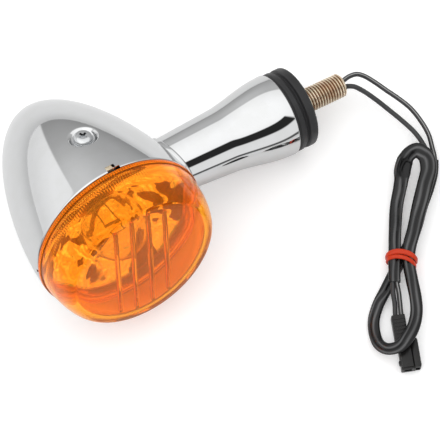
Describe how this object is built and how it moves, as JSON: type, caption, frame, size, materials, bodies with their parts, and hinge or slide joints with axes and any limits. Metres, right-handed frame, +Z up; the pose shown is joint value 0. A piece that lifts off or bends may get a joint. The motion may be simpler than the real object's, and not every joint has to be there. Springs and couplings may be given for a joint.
{
  "type": "turn signal indicator",
  "caption": "Chrome bullet turn signal on a flared stalk with a hollow threaded stud, amber ribbed lens, sleeved wires tied in a hank and a small plug.",
  "frame": {"origin": "on the surface the lamp lies on, under the middle of the lamp without its wires", "axes": "+Z up; +X along the level direction of the stalk, towards its stud; the lens faces -Y and a little upwards"},
  "size_m": [0.1703, 0.1671, 0.076],
  "materials": {
    "chrome": "mirror polished",
    "screw_chrome": "polished",
    "steel": "plain zinc plated",
    "yellow_zinc": "yellow passivated steel, satin",
    "mirror_metal": "vacuum metallised facets",
    "brass": "plain",
    "black_rubber": "satin",
    "phenolic": "matt",
    "black_wire": "satin PVC",
    "striped_wire": "black PVC with one white stripe",
    "black_sleeve": "satin soft PVC",
    "black_plastic": "moulded",
    "red_band": "natural rubber, slightly translucent",
    "bulb_glass": "clear",
    "filament": "tungsten",
    "amber_lens": "clear amber acrylic"
  },
  "bodies": {
    "housing": {"housing_shell": "chrome", "stalk_collar": "chrome", "stalk": "chrome", "stalk_nut": "steel", "mounting_stud": "yellow_zinc", "base_gasket": "black_rubber", "base_boot": "black_rubber", "lens_clip": "yellow_zinc", "lens_seal": "black_rubber", "reflector": "mirror_metal", "reflector_bracket": "steel", "clip_nut": "steel", "socket_shell": "yellow_zinc", "socket_insulator": "phenolic", "contact_spring": "steel", "ground_terminal": "steel", "lead_black": "black_wire", "lead_striped": "striped_wire", "wire_black": "black_wire", "wire_striped": "striped_wire", "sleeve": "black_sleeve", "tail_black": "black_wire", "tail_striped": "striped_wire", "rubber_band": "red_band", "connector_housing": "black_plastic", "connector_terminals": "brass"},
    "contact": {"contact_disc": "brass"},
    "bulb": {"bulb_glass": "bulb_glass", "bulb_base": "brass", "bulb_pins": "brass", "bulb_filament": "filament"},
    "lens": {"lens": "amber_lens"},
    "washer": {"screw_washer": "steel"},
    "screw": {"housing_screw": "screw_chrome"},
    "latch": {"connector_latch": "black_plastic"}
  },
  "joints": [
    {"name": "lens_pull", "type": "slide", "parent": "housing", "child": "lens", "axis": [0.0629, -0.9397, 0.3362], "range_m": [0, 0.025]},
    {"name": "bulb_push", "type": "slide", "parent": "housing", "child": "contact", "axis": [-0.0629, 0.9397, -0.3362], "range_m": [0, 0.0022], "stiffness_N_per_m": 900, "springref_m": -0.004, "deforming": ["contact_spring"]},
    {"name": "bulb_turn", "type": "hinge", "parent": "contact", "child": "bulb", "pos_m": [-0.04011, 0.00621, 0.03022], "axis": [-0.0629, 0.9397, -0.3362], "range_deg": [0, 20]},
    {"name": "screw_out", "type": "slide", "parent": "housing", "child": "washer", "axis": [0.1729, 0.342, 0.9237], "range_m": [0, 0.008]},
    {"name": "screw_turn", "type": "hinge", "parent": "washer", "child": "screw", "pos_m": [-0.03467, 0.01271, 0.05928], "axis": [0.1729, 0.342, 0.9237], "range_deg": [0, 4120]},
    {"name": "latch_press", "type": "hinge", "parent": "housing", "child": "latch", "pos_m": [0.04024, -0.10926, 0.0052], "axis": [0.9317, -0.3633, 0], "range_deg": [-3, 0], "stiffness_Nm_per_rad": 0.05, "springref_deg": 1.15}
  ],
  "couplings": [
    {"joint": "screw_turn", "follows": "screw_out", "rad_per_m": 8976}
  ]
}
